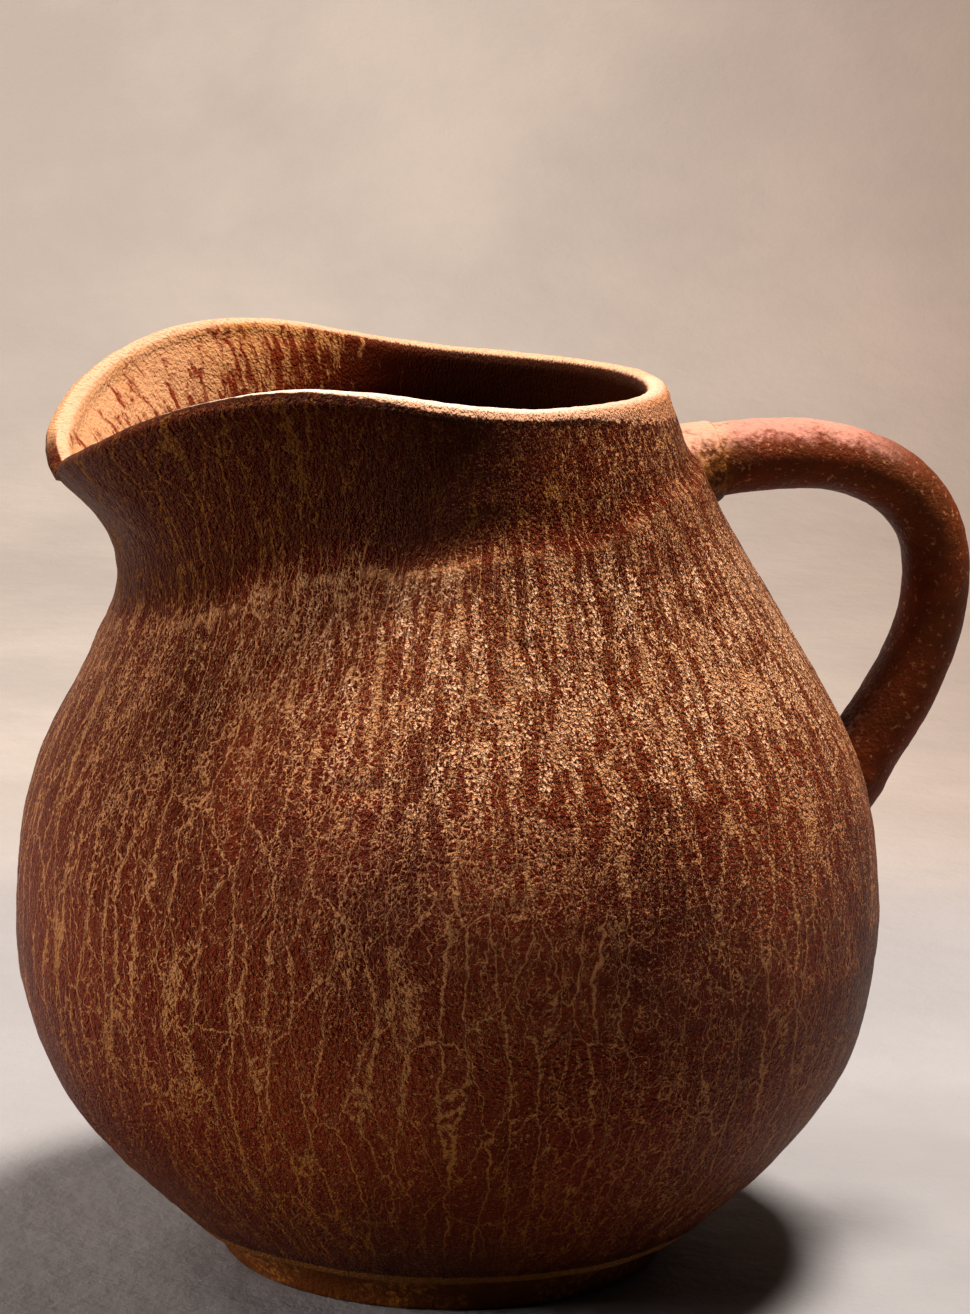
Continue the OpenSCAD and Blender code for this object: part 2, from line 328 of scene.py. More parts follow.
def new_mesh(name, points, quads, fans=()):
    """A mesh of quads, with a fan of triangles from each (centre, ring) in fans."""
    faces = quads.tolist()
    for centre, loop in fans:
        faces += [(centre, loop[i], loop[(i + 1) % len(loop)]) for i in range(len(loop))]
    mesh = bpy.data.meshes.new(name)
    mesh.from_pydata(points.tolist(), [], faces)
    mesh.update()
    return mesh


def ring_normals(rows, closed):
    """The way outwards at each point of a tube of rings, whose last ring meets its first if closed."""
    around = np.roll(rows, -1, axis=1) - np.roll(rows, 1, axis=1)
    if closed:
        along = np.roll(rows, -1, axis=0) - np.roll(rows, 1, axis=0)
    else:
        along = np.gradient(rows, axis=0)
    out = np.cross(around, along)
    return out / np.linalg.norm(out, axis=2, keepdims=True)


def mesh_points(mesh):
    """The places of the mesh's points."""
    places = np.empty(len(mesh.vertices) * 3)
    mesh.vertices.foreach_get("co", places)
    return places.reshape(-1, 3)


def solid_volume(mesh):
    """Volume inside a closed mesh, less than zero where its faces point inwards."""
    mesh.calc_loop_triangles()
    corners = np.empty(len(mesh.loop_triangles) * 3, dtype=np.int32)
    mesh.loop_triangles.foreach_get("vertices", corners)
    a, b, c = mesh_points(mesh)[corners.reshape(-1, 3)].transpose(1, 0, 2)
    return float(np.einsum("ij,ij->i", a, np.cross(b, c)).sum() / 6)


def keep_points(mesh, name, values):
    """Stores a number or a vector for every point of the mesh."""
    values = np.asarray(values, dtype=np.float32)
    is_vector = values.ndim == 2
    layer = mesh.attributes.new(name, "FLOAT_VECTOR" if is_vector else "FLOAT", "POINT")
    layer.data.foreach_set("vector" if is_vector else "value", values.ravel())


def keep_normals(mesh):
    """Stores the mesh's own normals as the way outwards."""
    normals = np.empty(len(mesh.vertices) * 3)
    mesh.vertex_normals.foreach_get("vector", normals)
    keep_points(mesh, "outward", normals.reshape(-1, 3))


def put_in_scene(name, mesh):
    """An object at the origin for a finished or unfinished mesh, with smooth faces."""
    piece = bpy.data.objects.new(name, mesh)
    bpy.context.scene.collection.objects.link(piece)
    mesh.shade_smooth()
    return piece


def hand_over(piece, node):
    """Gives a finished piece to the frame in the place of its node."""
    piece.data.set_sharp_from_angle(angle=math.radians(SHARP_FROM))
    if solid_volume(piece.data) <= 0:
        raise RuntimeError(piece.name + " is inside out")
    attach(piece, "root")
    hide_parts(node)


# Node trees

# Dry clay shines little, and in its own warm colour
CLAY_SHINE = 0.07
CLAY_SHINE_TINT = (1.0, 0.42, 0.24, 1.0)


class Value:
    """A number in a node tree. Arithmetic on it adds the nodes that work it out."""

    def __init__(self, tree, socket):
        self.tree = tree
        self.socket = socket

    def math(self, operation, *values):
        return self.tree.math(operation, self, *values)

    def __add__(self, other):
        return self.math("ADD", other)

    def __sub__(self, other):
        return self.math("SUBTRACT", other)

    def __rsub__(self, other):
        return self.tree.math("SUBTRACT", other, self)

    def __mul__(self, other):
        return self.math("MULTIPLY", other)

    def __truediv__(self, other):
        return self.math("DIVIDE", other)

    def __rtruediv__(self, other):
        return self.tree.math("DIVIDE", other, self)

    def line(self, slope, start):
        """The value times slope, plus start."""
        return self.math("MULTIPLY_ADD", slope, start)

    def ramp(self, low, high, first=0.0, last=1.0):
        """Eases from first to last while the value goes from low to high."""
        inputs = {0: self, 1: low, 2: high, 3: first, 4: last}
        node = self.tree.put("ShaderNodeMapRange", inputs, interpolation_type="SMOOTHSTEP")
        return Value(self.tree, node.outputs[0])

    def fade(self, low, high):
        """Eases from 1 to 0 while the value goes from low to high."""
        return self.ramp(low, high, 1.0, 0.0)


class Tree:
    """Puts nodes into a material or a geometry tree, one call for each."""

    def __init__(self, tree):
        self.tree = tree

    def feed(self, socket, value):
        if isinstance(value, Value):
            value = value.socket
        if isinstance(value, bpy.types.NodeSocket):
            self.tree.links.new(value, socket)
        elif socket.type == "RGBA":
            socket.default_value = tuple(value)[:3] + (1,)
        else:
            socket.default_value = value

    def put(self, kind, inputs=(), **settings):
        node = self.tree.nodes.new(kind)
        for name, value in settings.items():
            setattr(node, name, value)
        for key, value in dict(inputs).items():
            self.feed(node.inputs[key], value)
        return node

    def math(self, operation, *values):
        return Value(self, self.put("ShaderNodeMath", enumerate(values), operation=operation).outputs[0])

    def most(self, first, *others):
        """The greatest of the values."""
        for value in others:
            first = self.math("MAXIMUM", first, value)
        return first

    def vector(self, operation, *values):
        return self.put("ShaderNodeVectorMath", enumerate(values), operation=operation).outputs[0]

    def scaled(self, vector, factor):
        return self.put("ShaderNodeVectorMath", {0: vector, "Scale": factor}, operation="SCALE").outputs[0]

    def stretched(self, vector, up):
        """The vector with its part along Z times up."""
        return self.vector("MULTIPLY", vector, (1, 1, up))

    def raised(self, vector, up):
        """The vector with up added to its part along Z."""
        return self.vector("ADD", vector, self.put("ShaderNodeCombineXYZ", {2: up}).outputs[0])

    def split(self, vector):
        """The three parts of a vector."""
        return [Value(self, part) for part in self.put("ShaderNodeSeparateXYZ", {0: vector}).outputs]

    def along(self, vector, way):
        """How far the vector goes in the direction way."""
        node = self.put("ShaderNodeVectorMath", {0: vector, 1: way}, operation="DOT_PRODUCT")
        return Value(self, node.outputs["Value"])

    def noise(self, place, size, detail=2.0, roughness=0.5):
        inputs = {"Vector": place, "Scale": 1 / size, "Detail": detail, "Roughness": roughness}
        return Value(self, self.put("ShaderNodeTexNoise", inputs).outputs[0])

    def swirl(self, place, size, reach, detail=2.0, up=1):
        """The place, carried off by up to reach in a direction that wanders over size."""
        looked_up = place if up == 1 else self.stretched(place, up)
        inputs = {"Vector": looked_up, "Scale": 1 / size, "Detail": detail}
        drift = self.put("ShaderNodeTexNoise", inputs).outputs[1]
        drift = self.vector("SUBTRACT", drift, (0.5, 0.5, 0.5))
        return self.vector("ADD", place, self.scaled(drift, reach * 2))

    def edge_distance(self, place, size):
        """Distance from the edges between cells of that size."""
        node = self.put("ShaderNodeTexVoronoi", {"Vector": place, "Scale": 1 / size},
                        feature="DISTANCE_TO_EDGE")
        return Value(self, node.outputs["Distance"]) * size

    def run_lines(self, place, size):
        """Distance from the edges between cells, greater at edges that cross the run of the slip."""
        step = 0.0001
        here = self.edge_distance(place, size)
        above = self.edge_distance(self.vector("ADD", place, (0, 0, step)), size)
        slope = (above - here) / step
        return here * (slope * slope).line(5.0, 1.0)

    def blend(self, share, a, b):
        return self.put("ShaderNodeMix", {0: share, 6: a, 7: b}, data_type="RGBA").outputs[2]

    def kept(self, name):
        """A number stored on the points of the mesh."""
        return Value(self, self.put("ShaderNodeAttribute", attribute_name=name).outputs["Fac"])

    def kept_vector(self, name):
        return self.put("ShaderNodeAttribute", attribute_name=name).outputs["Vector"]


def finish_material(t, painted, rough, bumps):
    """Ends a material: its colour, its roughness and a stack of bumps, coarse to fine."""
    inputs = {"Base Color": painted, "Roughness": rough}
    for height, depth in bumps:
        bump = {"Height": height, "Distance": depth, "Strength": 1.0}
        if "Normal" in inputs:
            bump["Normal"] = inputs["Normal"]
        inputs["Normal"] = t.put("ShaderNodeBump", bump).outputs[0]
    shader = t.put("ShaderNodeBsdfPrincipled", inputs)
    shader.inputs["Specular IOR Level"].default_value = CLAY_SHINE
    shader.inputs["Specular Tint"].default_value = CLAY_SHINE_TINT
    t.put("ShaderNodeOutputMaterial", {"Surface": shader.outputs[0]})
    return shader


def blank_material(name):
    material = bpy.data.materials.new(name)
    material.use_nodes = True
    material.node_tree.nodes.clear()
    return material, Tree(material.node_tree)


# Finishes

# Width of the cells that the slip parts along, and how far they are drawn out down the wall
STREAM_SIZE, STREAM_RUN = 0.0078, 0.30
BRANCH_SIZE, BRANCH_RUN = 0.0036, 0.42
LACE_SIZE, LACE_RUN = 0.00135, 0.60
NECK_LACE_SIZE, NECK_LACE_RUN = 0.0027, 0.62
DRIP_SIZE, DRIP_RUN = 0.0026, 0.30
# The neck's lace is coarser, and this share of its cells' distances keeps its lines as fine
NECK_LACE_SHARE = 0.62
# How wide the lines of lace grow where they crowd most, and how wide they are where they don't
LACE_WIDTH = 0.00021
LEAST_LACE_WIDTH = 0.000008
SPECK_SIZE = 0.00095
FRINGE_SIZE = 0.0034
# How far the fold's line and its worn edge wander
FOLD_WANDER_SIZE, FOLD_WANDER = 0.013, 0.0080
FOLD_FRAY_SIZE, FOLD_FRAY = 0.0026, 0.0050
# How far the wiped rim reaches down in its fringe, and how much more at the handle
FRAY, FRAY_AT_HANDLE = 0.0022, 0.0105
# Height of the bumps of the slip and of the washed clay
SLIP_BUMPS = 0.0014
CLAY_BUMPS = 0.0006


class SlipPlaces:
    """What the slip goes by at each point of the wall."""

    def __init__(self, t):
        self.flow = t.kept_vector("flow")
        self.across, away, self.up = t.split(self.flow)
        self.rim_way = t.kept("rim_way")
        self.patch, self.band = t.kept("patch"), t.kept("band")
        self.tone, self.worn_and_lit = t.kept("tone"), t.kept("worn_and_lit")
        self.ragged = t.swirl(t.kept_vector("creep"), 0.0031, 0.0016, 3.0)
        self.specks = t.noise(self.flow, SPECK_SIZE, 1.5, 0.6)
        self.far = away.ramp(-0.01, 0.01)
        self.back = self.across.ramp(0.035, 0.105)
        # Above the fold the slip is darker, most of all on the spout's side: partly thick slip, partly
        # painted shade under the rim and the spout
        wander = t.noise(self.flow, FOLD_WANDER_SIZE, 3.0, 0.6)
        self.fold_way = wander.line(FOLD_WANDER, t.kept("fold_way") - 0.0065)
        self.neck = self.fold_way.fade(-0.010, 0.001)
        self.thick_and_shaded = self.neck * self.across.ramp(-0.035, 0.038, 1.0, 0.06)


def parted_slip(t, at):
    """Where the slip has parted: in veins and in all, how it crowds there, and the cells of its lace."""
    # Streams run down the wall and wander, with branches between them
    above_foot = at.up.ramp(0.004, 0.020)
    streams = t.run_lines(t.stretched(at.ragged, STREAM_RUN), STREAM_SIZE)
    branches = t.run_lines(t.stretched(at.ragged, BRANCH_RUN), BRANCH_SIZE)
    stream = (streams / (at.tone.ramp(0.38, 0.62, 0.00008, 0.00038) * above_foot)).fade(0.6, 1.3)
    branch = (branches / (at.patch.ramp(0.38, 0.62, 0.00004, 0.00014) * above_foot)).fade(0.4, 1.6)
    veins = t.most(stream, branch)

    # Lace and specks gather beside the streams and in bands, mostly in the shoulder's worn band, which is
    # also where the key lamp lights it
    near = streams.fade(0.0003, 0.0013) * at.patch.ramp(0.40, 0.56, 0.15, 0.8)
    crowd = t.most(near, at.band.ramp(0.45, 0.58, 0.05, 0.95)) * at.worn_and_lit
    crowd = crowd + at.worn_and_lit.ramp(0.50, 1.0, 0.0, 0.12)
    crowd = crowd * at.across.ramp(-0.095, 0.0, 0.30, 1.0) * at.thick_and_shaded.line(-0.65, 1.0)
    tangle = near * at.across.ramp(-0.070, 0.0, 1.0, 0.2) * at.up.ramp(0.040, 0.100, 0.35, 1.0)
    fine = t.edge_distance(t.stretched(t.swirl(at.ragged, 0.0009, 0.00035), LACE_RUN), LACE_SIZE)
    coarse = t.edge_distance(t.stretched(at.ragged, NECK_LACE_RUN), NECK_LACE_SIZE) * NECK_LACE_SHARE
    cells = (coarse - fine).line(at.neck, fine)
    lace_width = t.most(crowd, tangle).line(LACE_WIDTH, LEAST_LACE_WIDTH)
    lace = (cells / lace_width).fade(0.75, 1.25)
    bare_specks = (at.specks - crowd.line(-0.070, 0.660)).ramp(-0.004, 0.012)

    # It has come off the edge of the fold below the neck
    fold = t.noise(at.flow, FOLD_FRAY_SIZE, 4.0, 0.7).line(FOLD_FRAY, at.fold_way - 0.0025)
    fold_edge = fold.math("ABSOLUTE").fade(0.0004, 0.0016) * at.band.ramp(0.40, 0.56)
    fold_edge = fold_edge * at.across.ramp(-0.106, -0.094) * at.across.ramp(-0.050, 0.030, 1.0, 0.35)
    return veins, t.most(veins, lace, bare_specks, fold_edge), crowd, cells


def wiped_rim(t, at):
    """Where the rim is wiped bare, its crest (rubbed, with a painted highlight on the near side), and the
    line of slip along its edge, with painted shade under the lip.
    """
    near_side = 1.0 - at.far
    fringe = t.noise(at.flow, FRINGE_SIZE, 4.0, 0.68)
    fray = fringe * at.back.line(FRAY_AT_HANDLE, FRAY)
    edge = at.rim_way - fray + at.across.ramp(-0.104, -0.020, 0.0036, 0.0) * near_side
    tip = t.most(at.across.ramp(-0.1098, -0.1078), at.rim_way.fade(0.0004, 0.0012))
    wiped = edge.fade(0.0027, 0.0033) * tip
    # The dark line under the lip on the near side: the slip's edge, and painted shade in the groove under the
    # lip
    lip_line_and_shade = edge.ramp(0.0026, 0.0032) * edge.fade(0.0040, 0.0056)
    lip_line_and_shade = lip_line_and_shade * (1.0 - t.most(at.back, at.far)) * fringe.ramp(0.38, 0.52)
    # A painted highlight along the near side of the crest, over its rubbed clay
    crest = at.rim_way.math("ABSOLUTE").fade(0.0013, 0.0028) * near_side
    crest = crest * at.across.ramp(-0.108, -0.080, 0.15, 1.0) * at.across.ramp(0.010, 0.070, 1.0, 0.35)
    return wiped, crest, lip_line_and_shade


def slip_colour(t, at, colours):
    """The slip, darker in its hollows; on the neck partly thicker slip and partly painted shade, and low on
    the belly painted shade.
    """
    slip = t.blend(at.patch.ramp(0.34, 0.62), colours.slip_deep_and_shade, colours.slip)
    slip = t.blend(at.tone.ramp(0.42, 0.66, 0.0, 0.8), slip, colours.slip_red)
    # Painted shade below the rim and the spout, over the neck's darker slip
    slip = t.blend(at.neck * 0.8, slip, colours.slip_deep_and_shade)
    # Painted shade where the lower belly faces down, away from the light
    slip = t.blend(at.up.ramp(0.020, 0.075, 0.65, 0.0), slip, colours.slip_deep_and_shade)
    # Painted shade at the foot of the belly, where it meets the foot ring
    slip = t.blend(at.up.ramp(0.002, 0.012, 0.8, 0.0), slip, colours.darkest_slip_and_shade)
    return t.blend(at.specks.ramp(0.36, 0.56, 0.55, 0.0), slip, colours.slip_deep_and_shade)


def rim_colour(t, at, crest, colours):
    """The wiped clay of the rim, orange towards the handle and nearly white on its crest, which is rubbed and
    has a painted highlight.
    """
    outer_strip = at.rim_way.ramp(0.0010, 0.0015) * at.far
    rim = t.blend(outer_strip, colours.rim, colours.inner)
    rim = t.blend(at.specks.ramp(0.52, 0.72, 0.0, 0.5), rim, colours.bare)
    rim = t.blend(at.rim_way.ramp(0.0012, 0.0032) * at.back, rim, colours.rim_low)
    return t.blend(crest, rim, colours.crest)


def inside_colour(t, at, depth, colours):
    """Short drips of slip that hang below the rim and close up towards the handle; deeper in and towards the
    handle the slip darkens, partly slip and partly painted shade inside the jug.
    """
    drips = t.noise(t.stretched(at.ragged, DRIP_RUN), DRIP_SIZE, 3.0, 0.62)
    closing = at.across.ramp(-0.105, 0.060, 0.0, 0.44) + depth.ramp(0.001, 0.040, -0.06, 0.14)
    covered = (drips + closing).ramp(0.48, 0.63)
    darker = t.most(at.patch.ramp(0.44, 0.66), at.across.ramp(-0.100, -0.050, 0.0, 0.85))
    bare = t.blend(darker, colours.inner, colours.bare)
    # Painted shade deeper inside the jug and towards the handle, over the darker slip there
    slip = t.blend(depth.ramp(0.010, 0.060), colours.slip_red, colours.darkest_slip_and_shade)
    slip = t.blend(at.across.ramp(-0.09, 0.03), slip, colours.darkest_slip_and_shade)
    return t.blend(covered, bare, slip)


def slipped_clay(colours):
    """Dark iron slip that has crept apart in veins and grain over ochre clay."""
    material, t = blank_material("iron_slip")
    at = SlipPlaces(t)
    veins, bare, crowd, cells = parted_slip(t, at)
    wiped, crest, lip_line_and_shade = wiped_rim(t, at)
    depth = at.rim_way * -1.0

    # Painted shade on the veins of the neck and the lower belly, less towards the handle where the light
    # reaches
    darkened = t.most(at.neck, at.up.fade(0.030, 0.140)) * at.across.ramp(0.0, 0.080, 1.0, 0.3)
    # Rubbed veins, with painted glints of the key lamp where the lit shoulder's grain crowds
    rubbed = at.specks.ramp(0.46, 0.64) * crowd.ramp(0.15, 0.75) * at.worn_and_lit.ramp(0.30, 0.85)
    vein = t.blend(darkened, colours.vein, colours.vein_darker_and_shade)
    vein = t.blend(rubbed * veins.line(-0.7, 1.0), vein, colours.vein_rubbed_and_glint)
    painted = t.blend(bare, slip_colour(t, at, colours), vein)
    # Painted shade on the neck under the rim and the spout, laid over its thick slip
    painted = t.blend(at.thick_and_shaded * 0.52, painted, colours.darkest_slip_and_shade)
    painted = t.blend(lip_line_and_shade, painted, colours.darkest_slip_and_shade)
    painted = t.blend(wiped, painted, rim_colour(t, at, crest, colours))
    inside = at.specks.line(-0.002, depth).ramp(0.0010, 0.0022)
    painted = t.blend(inside, painted, inside_colour(t, at, depth, colours))

    below_rim = at.rim_way.ramp(0.003, 0.008)
    pebbles = cells.ramp(0.0, 0.00045, 0.0, 0.28) * below_rim
    pits = at.specks * at.rim_way.ramp(-0.0020, 0.0060, 0.5, 2.0)
    pits = bare.line(below_rim * -0.22, pits)
    finish_material(t, painted, bare.ramp(0.0, 1.0, 0.40, 0.55), [(pebbles + pits, SLIP_BUMPS)])
    return material


def washed_clay(name, colours, wash_from):
    """Ochre clay that a red-brown wash covers softly past wash_from along X, both paler on top: rubbed, and a
    painted highlight where the surface faces up.
    """
    material, t = blank_material(name)
    place = t.put("ShaderNodeTexCoord").outputs["Object"]
    along, _, up = t.split(place)
    clouds = t.noise(t.swirl(place, 0.012, 0.003), 0.016, 4.0, 0.6)
    flecks = t.noise(place, 0.0017, 3.0, 0.62)
    blots = t.noise(place, 0.0070, 4.0, 0.68)
    pits = t.noise(place, 0.0010, 3.0, 0.65)
    mottled = blots + flecks - 1.0
    facing_up = t.split(t.kept_vector("outward"))[2]
    # A painted highlight where the surface faces up near the collar, with some rubbing
    top = (facing_up + mottled).ramp(0.42, 1.00) * along.ramp(wash_from + 0.028, wash_from + 0.054, 1.0, 0.03)

    ochre = t.blend(blots.ramp(0.40, 0.60), colours.dark_clay, colours.vein_darker_and_shade)
    ochre = t.blend(flecks.ramp(0.52, 0.68, 0.0, 0.5), ochre, colours.vein)
    ochre = t.blend(top, ochre, colours.collar_top_rubbed_and_lit)
    wash = t.blend(clouds.ramp(0.44, 0.66, 0.0, 0.4), colours.handle, colours.slip_red)
    wash = t.blend(blots.ramp(0.52, 0.70, 0.0, 0.5), wash, colours.dark_clay)
    wash = t.blend(flecks.ramp(0.58, 0.72, 0.0, 0.6), wash, colours.vein)
    wash = t.blend(top, wash, colours.handle_rubbed_and_lit)
    washed = (along + mottled * 0.014).ramp(wash_from - 0.002, wash_from + 0.003)
    painted = t.blend(washed, ochre, wash)
    # The foot ring is darker than the clay above it
    darkened = t.blend(flecks.ramp(0.44, 0.66), colours.dark_clay, colours.vein_darker_and_shade)
    darkened = t.blend(clouds.ramp(0.40, 0.60), darkened, colours.dark_clay)
    painted = t.blend(up.ramp(0.010, 0.020), darkened, painted)
    bumps = [(clouds, CLAY_BUMPS), (pits, CLAY_BUMPS)]
    finish_material(t, painted, clouds.ramp(0.3, 0.7, 0.42, 0.60), bumps)
    return material


# Geometry trees

# Sizes that the trees take from the jug's touches
RELIEF_SIZES = ("Lump height", "Lump size", "Ridge height", "Ridge spacing", "Grain height", "Grain size")
CREEP_SIZES = ("Wander size", "Wander reach", "Patch size", "Band size")
# How far one more on the seed moves the relief and the slip's pattern
RELIEF_SEED_STEP = 0.37
CREEP_SEED_STEP = 0.53
# How far the potter's rings rise and fall with the lumps
RING_WAVE = 0.02


def start_tree(name, sizes, count):
    """A new geometry tree whose inputs are the named sizes and a count, and what it is given."""
    tree = bpy.data.node_groups.new(name, "GeometryNodeTree")
    inputs = [("Geometry", "Geometry")] + [(size, "Float") for size in sizes]
    inputs += [(count, "Int"), ("Material", "Material")]
    for label, kind in inputs:
        tree.interface.new_socket(label, in_out="INPUT", socket_type="NodeSocket" + kind)
    tree.interface.new_socket("Geometry", in_out="OUTPUT", socket_type="NodeSocketGeometry")
    t = Tree(tree)
    outputs = tree.nodes.new("NodeGroupInput").outputs
    return t, {label: Value(t, outputs[label]) for label, _ in inputs}


def end_tree(t, shape, given):
    """Ends a geometry tree with real geometry that has its material."""
    real = t.put("GeometryNodeRealizeInstances", {"Geometry": shape})
    done = t.put("GeometryNodeSetMaterial", {"Geometry": real.outputs[0], "Material": given["Material"]})
    t.put("NodeGroupOutput", {0: done.outputs[0]})
    return t.tree


def named_vector(t, name):
    """A vector stored on the points of the geometry."""
    return t.put("GeometryNodeInputNamedAttribute", {"Name": name}, data_type="FLOAT_VECTOR").outputs[0]


def relief_tree():
    """Moves every point of a thrown wall along its own outward way by lumps, rings and grain."""
    t, given = start_tree("hand_relief", RELIEF_SIZES, "Seed")
    here = t.put("GeometryNodeInputPosition").outputs[0]
    place = t.raised(here, given["Seed"] * RELIEF_SEED_STEP)
    # A noise lies round a half and seldom nears 0 or 1, so its two reliefs count double
    lumps = t.noise(place, given["Lump size"], 1.0) - 0.5
    grain = t.noise(place, given["Grain size"], 2.0) - 0.5
    wavy = t.split(here)[2] + lumps * RING_WAVE
    rings = (wavy * (2 * math.pi) / given["Ridge spacing"]).math("SINE")
    rise = lumps * given["Lump height"] + grain * given["Grain height"]
    rise = rise * 2.0 + rings * given["Ridge height"]
    offset = t.scaled(named_vector(t, "outward"), rise)
    moved = t.put("GeometryNodeSetPosition", {"Geometry": given["Geometry"], "Offset": offset})
    return end_tree(t, moved.outputs[0], given)


def creep_tree():
    """Stores where the slip has crept to, and how it lies there, for the finish to follow."""
    t, given = start_tree("creeping_slip", CREEP_SIZES + ("Shoulder height",), "Seed")
    place = t.raised(named_vector(t, "flow"), given["Seed"] * CREEP_SEED_STEP)
    creep = t.swirl(place, given["Wander size"], given["Wander reach"], 3.0, 0.45)
    height = t.split(t.put("GeometryNodeInputPosition").outputs[0])[2] / given["Shoulder height"]
    numbers = {
        "patch": t.noise(t.stretched(place, 0.4), given["Patch size"], 3.0),
        "band": t.noise(t.stretched(creep, 0.23), given["Band size"], 3.0),
        "tone": t.noise(t.stretched(place, 0.6), given["Patch size"] * 1.6, 2.0),
        # The shoulder's worn band, which is also the band the key lamp lights; the finish paints pale glints
        # on it
        "worn_and_lit": height.ramp(0.60, 1.04, 0.16, 1.0) * height.ramp(1.08, 1.22, 1.0, 0.50),
    }
    shape = given["Geometry"]
    for name, value in [("creep", creep)] + list(numbers.items()):
        kind = "FLOAT" if name in numbers else "FLOAT_VECTOR"
        node = t.put("GeometryNodeStoreNamedAttribute", {"Geometry": shape, "Name": name},
                     data_type=kind, domain="POINT")
        t.feed(node.inputs["Value"], value)
        shape = node.outputs[0]
    return end_tree(t, shape, given)


def strap_tree():
    """Draws a strap of oval clay along a middle line, with a capped end at both sides."""
    t, given = start_tree("pulled_strap", ("Thickness", "Width"), "Sides")
    line = t.put("GeometryNodeSetCurveNormal", {"Curve": given["Geometry"], "Normal": (0, 1, 0)}, mode="FREE")
    circle = t.put("GeometryNodeCurvePrimitiveCircle", {"Resolution": given["Sides"], "Radius": 0.5})
    size = t.put("ShaderNodeCombineXYZ", {0: given["Width"], 1: given["Thickness"], 2: 1.0}).outputs[0]
    oval = t.put("GeometryNodeTransform", {"Geometry": circle.outputs[0], "Scale": size})
    swell = t.put("GeometryNodeInputRadius").outputs[0]
    strap = t.put("GeometryNodeCurveToMesh", {"Curve": line.outputs[0], "Profile Curve": oval.outputs[0],
                                              "Scale": swell, "Fill Caps": True})
    return end_tree(t, strap.outputs[0], given)


def grow(piece, tree, values):
    """Runs a geometry tree on a piece and gives back a plain mesh object in its place."""
    modifier = piece.modifiers.new(tree.name, "NODES")
    modifier.node_group = tree
    for item in tree.interface.items_tree:
        if item.in_out == "INPUT" and item.name in values:
            modifier[item.identifier] = values[item.name]
    piece.update_tag()
    depsgraph = bpy.context.evaluated_depsgraph_get()
    done = bpy.data.meshes.new_from_object(piece.evaluated_get(depsgraph), depsgraph=depsgraph)
    name = piece.name
    bpy.data.objects.remove(piece)
    grown = put_in_scene(name, done)
    done.name = name
    return grown


def touch_values(names):
    """The jug's touches that have these names, for a geometry tree, with the seed."""
    touches = bpy.context.scene.jug_touches
    values = {name: getattr(touches, name.lower().replace(" ", "_")) for name in names}
    values["Seed"] = touches.seed
    return values


def wall_relief(piece, material):
    """Gives a thrown piece the marks of the hand."""
    tree = bpy.data.node_groups.get("hand_relief") or relief_tree()
    values = touch_values(RELIEF_SIZES)
    values["Material"] = material
    return grow(piece, tree, values)


def slipped(piece):
    """Lays the slip on a thrown piece."""
    tree = bpy.data.node_groups.get("creeping_slip") or creep_tree()
    values = touch_values(CREEP_SIZES)
    values["Shoulder height"] = bpy.context.scene.jug_belly.shoulder_height
    values["Material"] = clay("iron_slip")
    return grow(piece, tree, values)


# The thrown wall

# Rings of the mesh on each stretch of the wall
OUTSIDE_BELLY_RINGS = 148
OUTSIDE_NECK_RINGS = 46
RIM_RINGS = 12
INSIDE_NECK_RINGS = 32
INSIDE_BELLY_RINGS = 30
# How much closer the columns stand at the spout, as a share
SPOUT_CROWDING = 0.30
# Radius of the rings that the slip's pattern is laid out on
FLOW_RADIUS = 0.110
# Rings of a flat disc that closes the wall, as shares of its edge
DISC_SHARES = (0.9, 0.75, 0.55, 0.3)
# Way from the rim that stands for the underside and for the floor inside
UNDERSIDE_WAY = 0.3
FLOOR_WAY = -0.25
# Where on the slip's pattern a flat disc lies, away from that of the wall
DISC_SHIFT = (0.3, 0, 0)

# The ledge that follows the seam: its height above it, its waves, where it is lifted, and its shape
LEDGE_ABOVE_SEAM = 0.003
LEDGE_WAVE = 0.0012
LEDGE_LIFT_ANGLE = math.radians(52)
LEDGE_LIFT_HALF_ANGLE = math.radians(36)
LEDGE_EDGE = 0.001
LEDGE_EDGE_SOFTNESS = 0.0006
LEDGE_RUNOUT = 0.010
GROOVE_ABOVE_LEDGE = 0.004
GROOVE_HALF_WIDTH = 0.005
# The ledge nearly dies away below the spout
SPOUT_SMOOTHING = 0.85
SPOUT_SMOOTHING_HALF_ANGLE = math.radians(26)

# Places where the wall was pressed or piled up: angle in degrees, height, half width, half height, rise
WALL_TOUCHES = (
    (0, 0.164, 0.040, 0.010, 0.0028),
    (0, 0.188, 0.040, 0.011, -0.0027),
    (130, 0.207, 0.006, 0.004, 0.0007),
    (124, 0.193, 0.008, 0.004, 0.0008),
    (132, 0.163, 0.0035, 0.003, -0.0009),
    (24, 0.111, 0.006, 0.004, 0.0010),
    (42, 0.079, 0.009, 0.007, 0.0009),
    (65, 0.142, 0.009, 0.0016, -0.0007),
    (151, 0.072, 0.020, 0.012, -0.0008),
    (90, 0.173, 0.002, 0.0016, -0.0012),
)
# The ledge and the touches end this far below the rim's crest, and there are none inside
PRESSED_FROM = 0.006


def disc_points(edge, height):
    """Rings of a flat disc inside its edge, and its centre."""
    rings = [edge * (share, share, 0) + (0, 0, height) for share in DISC_SHARES]
    return np.concatenate(rings + [np.array([[0, 0, height]])])


